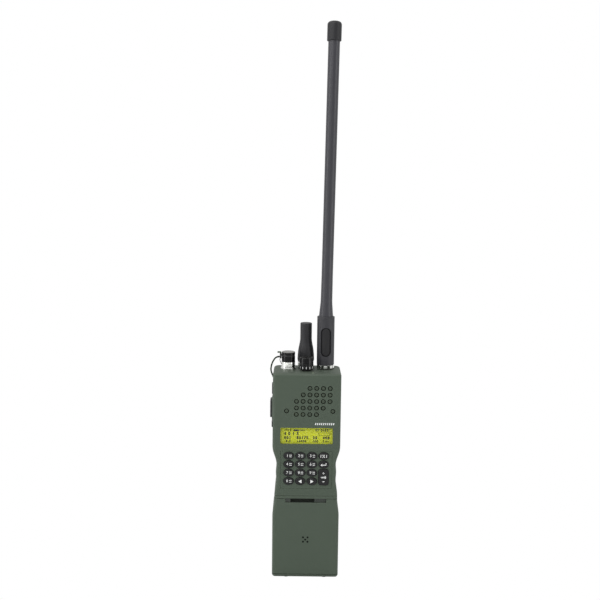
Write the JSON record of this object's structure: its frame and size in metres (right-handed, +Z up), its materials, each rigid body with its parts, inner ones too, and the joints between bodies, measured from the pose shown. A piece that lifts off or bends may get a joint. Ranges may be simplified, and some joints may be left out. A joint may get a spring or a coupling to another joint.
{
  "type": "walkie talkie",
  "caption": "Handheld military-style radio with whip antenna, satellite stub, channel knob, capped audio port, display, keypad, side buttons and slide-off battery pack.",
  "frame": {"origin": "on the floor under the middle of the case, at the feet of the battery's base", "axes": "+Z up along the case towards the antenna, -Y out of the face with the display, +X to the right of a person looking at the display"},
  "size_m": [0.0773, 0.0498, 0.6037],
  "materials": {
    "olive_paint": "matte olive green paint over cast metal, fine orange-peel texture",
    "olive_rubber": "olive green elastomer, matte",
    "black_rubber": "black moulded rubber, satin sheen",
    "key_rubber": "black silicone rubber with white printed legends",
    "gasket_rubber": "black sealing rubber",
    "black_plastic": "black moulded plastic",
    "whip_jacket": "charcoal antenna jacket, satin",
    "steel": "bright passivated steel",
    "nickel": "bright nickel plating, turned",
    "brass_gold": "gold-plated contacts",
    "window": "clear hard-coated window",
    "lcd": "yellow-green backlit liquid crystal panel with dark segments",
    "circuit_board": "green solder resist with gold and black components",
    "tinplate": "tinned shield can",
    "cell_wrap": "blue shrink wrap on battery cells",
    "latch_grey": "dark grey-green moulded plastic",
    "lens_green": "tinted lens",
    "lanyard_wire": "dark green coated wire rope",
    "cap_metal": "black anodised"
  },
  "bodies": {
    "radio": {"front_housing": "olive_paint", "rear_cover": "olive_paint", "cover_gasket": "gasket_rubber", "case_screws": "steel", "bottom_plate": "olive_paint", "contact_pins": "brass_gold", "display_window": "window", "display_module": "lcd", "keypad_plate": "olive_paint", "keypad_board": "circuit_board", "main_board": "circuit_board", "rf_shield": "tinplate", "speaker": "black_plastic", "speaker_baffle": "olive_rubber", "microphone": "black_plastic", "channel_switch": "black_plastic", "audio_connector": "nickel", "audio_contacts": "black_plastic", "antenna_connector": "nickel", "gps_connector": "nickel", "side_switch_board": "circuit_board", "status_lens": "lens_green", "lanyard_screw": "steel", "cap_lanyard": "lanyard_wire"},
    "knob": {"channel_knob": "black_plastic", "channel_shaft": "steel"},
    "cap_keeper": {"cap_keeper": "lanyard_wire"},
    "dust_cap": {"dust_cap": "cap_metal"},
    "antenna_washer": {"antenna_seal": "gasket_rubber"},
    "antenna": {"antenna_collar": "nickel", "antenna_grip": "black_rubber", "antenna_whip": "whip_jacket", "antenna_tip": "black_rubber"},
    "gps_washer": {"gps_seal": "gasket_rubber"},
    "gps_antenna": {"gps_collar": "nickel", "gps_antenna": "black_rubber"},
    "ptt_button": {"ptt_button": "black_rubber"},
    "volume_rocker": {"volume_rocker": "black_rubber"},
    "squelch_button": {"squelch_button": "black_rubber"},
    "key_preset": {"key_preset": "key_rubber"},
    "battery": {"battery_case": "olive_paint", "battery_base": "olive_paint", "battery_cells": "cell_wrap", "battery_board": "circuit_board", "latch_spring": "steel"},
    "battery_latch": {"battery_latch": "latch_grey"},
    "key_1": {"key_1": "key_rubber"},
    "key_2": {"key_2": "key_rubber"},
    "key_3": {"key_3": "key_rubber"},
    "key_clear": {"key_clear": "key_rubber"},
    "key_4": {"key_4": "key_rubber"},
    "key_5": {"key_5": "key_rubber"},
    "key_6": {"key_6": "key_rubber"},
    "key_enter": {"key_enter": "key_rubber"},
    "key_7": {"key_7": "key_rubber"},
    "key_8": {"key_8": "key_rubber"},
    "key_9": {"key_9": "key_rubber"},
    "key_0": {"key_0": "key_rubber"},
    "key_left": {"key_left": "key_rubber"},
    "key_right": {"key_right": "key_rubber"}
  },
  "joints": [
    {"name": "channel_knob_turn", "type": "hinge", "parent": "radio", "child": "knob", "pos_m": [-0.001, -0.0057, 0.238], "axis": [0, 0, 1], "range_deg": [-150, 150]},
    {"name": "cap_lift", "type": "slide", "parent": "radio", "child": "cap_keeper", "axis": [0, 0, 1], "range_m": [0, 0.012]},
    {"name": "cap_turn", "type": "hinge", "parent": "cap_keeper", "child": "dust_cap", "pos_m": [-0.0208, 0, 0.244], "axis": [0, 0, 1], "continuous": true},
    {"name": "antenna_rise", "type": "slide", "parent": "radio", "child": "antenna_washer", "axis": [0, 0, 1], "range_m": [0, 0.0036]},
    {"name": "antenna_turn", "type": "hinge", "parent": "antenna_washer", "child": "antenna", "pos_m": [0.0202, 0.0057, 0.24], "axis": [0, 0, 1], "range_deg": [0, 1440]},
    {"name": "gps_rise", "type": "slide", "parent": "radio", "child": "gps_washer", "axis": [0, 0, 1], "range_m": [0, 0.0028]},
    {"name": "gps_turn", "type": "hinge", "parent": "gps_washer", "child": "gps_antenna", "pos_m": [-0.0015, 0.012, 0.24], "axis": [0, 0, 1], "range_deg": [0, 1440]},
    {"name": "ptt_press", "type": "slide", "parent": "radio", "child": "ptt_button", "axis": [1, 0, 0], "range_m": [0, 0.0015], "stiffness_N_per_m": 900, "springref_m": -0.001},
    {"name": "volume_tilt", "type": "hinge", "parent": "radio", "child": "volume_rocker", "pos_m": [-0.0329, -0.0035, 0.2095], "axis": [0, 1, 0], "range_deg": [-4, 4], "stiffness_Nm_per_rad": 0.3},
    {"name": "squelch_press", "type": "slide", "parent": "radio", "child": "squelch_button", "axis": [1, 0, 0], "range_m": [0, 0.0008], "stiffness_N_per_m": 900, "springref_m": -0.001},
    {"name": "key_preset_tilt", "type": "hinge", "parent": "radio", "child": "key_preset", "pos_m": [0.01905, -0.0213, 0.1156], "axis": [1, 0, 0], "range_deg": [-3, 3], "stiffness_Nm_per_rad": 0.3},
    {"name": "battery_slide", "type": "slide", "parent": "radio", "child": "battery", "axis": [0, 0, -1], "range_m": [0, 0.03]},
    {"name": "latch_slide", "type": "slide", "parent": "battery", "child": "battery_latch", "axis": [-1, 0, 0], "range_m": [0, 0.01], "stiffness_N_per_m": 60, "springref_m": -0.004, "deforming": ["latch_spring"]},
    {"name": "key_1_press", "type": "slide", "parent": "radio", "child": "key_1", "axis": [0, 1, 0], "range_m": [0, 0.001], "stiffness_N_per_m": 700, "springref_m": -0.0008},
    {"name": "key_2_press", "type": "slide", "parent": "radio", "child": "key_2", "axis": [0, 1, 0], "range_m": [0, 0.001], "stiffness_N_per_m": 700, "springref_m": -0.0008},
    {"name": "key_3_press", "type": "slide", "parent": "radio", "child": "key_3", "axis": [0, 1, 0], "range_m": [0, 0.001], "stiffness_N_per_m": 700, "springref_m": -0.0008},
    {"name": "key_clear_press", "type": "slide", "parent": "radio", "child": "key_clear", "axis": [0, 1, 0], "range_m": [0, 0.001], "stiffness_N_per_m": 700, "springref_m": -0.0008},
    {"name": "key_4_press", "type": "slide", "parent": "radio", "child": "key_4", "axis": [0, 1, 0], "range_m": [0, 0.001], "stiffness_N_per_m": 700, "springref_m": -0.0008},
    {"name": "key_5_press", "type": "slide", "parent": "radio", "child": "key_5", "axis": [0, 1, 0], "range_m": [0, 0.001], "stiffness_N_per_m": 700, "springref_m": -0.0008},
    {"name": "key_6_press", "type": "slide", "parent": "radio", "child": "key_6", "axis": [0, 1, 0], "range_m": [0, 0.001], "stiffness_N_per_m": 700, "springref_m": -0.0008},
    {"name": "key_enter_press", "type": "slide", "parent": "radio", "child": "key_enter", "axis": [0, 1, 0], "range_m": [0, 0.001], "stiffness_N_per_m": 700, "springref_m": -0.0008},
    {"name": "key_7_press", "type": "slide", "parent": "radio", "child": "key_7", "axis": [0, 1, 0], "range_m": [0, 0.001], "stiffness_N_per_m": 700, "springref_m": -0.0008},
    {"name": "key_8_press", "type": "slide", "parent": "radio", "child": "key_8", "axis": [0, 1, 0], "range_m": [0, 0.001], "stiffness_N_per_m": 700, "springref_m": -0.0008},
    {"name": "key_9_press", "type": "slide", "parent": "radio", "child": "key_9", "axis": [0, 1, 0], "range_m": [0, 0.001], "stiffness_N_per_m": 700, "springref_m": -0.0008},
    {"name": "key_0_press", "type": "slide", "parent": "radio", "child": "key_0", "axis": [0, 1, 0], "range_m": [0, 0.001], "stiffness_N_per_m": 700, "springref_m": -0.0008},
    {"name": "key_left_press", "type": "slide", "parent": "radio", "child": "key_left", "axis": [0, 1, 0], "range_m": [0, 0.001], "stiffness_N_per_m": 700, "springref_m": -0.0008},
    {"name": "key_right_press", "type": "slide", "parent": "radio", "child": "key_right", "axis": [0, 1, 0], "range_m": [0, 0.001], "stiffness_N_per_m": 700, "springref_m": -0.0008}
  ],
  "couplings": [
    {"joint": "antenna_turn", "follows": "antenna_rise", "rad_per_m": 6927.4},
    {"joint": "gps_turn", "follows": "gps_rise", "rad_per_m": 8904.7}
  ]
}
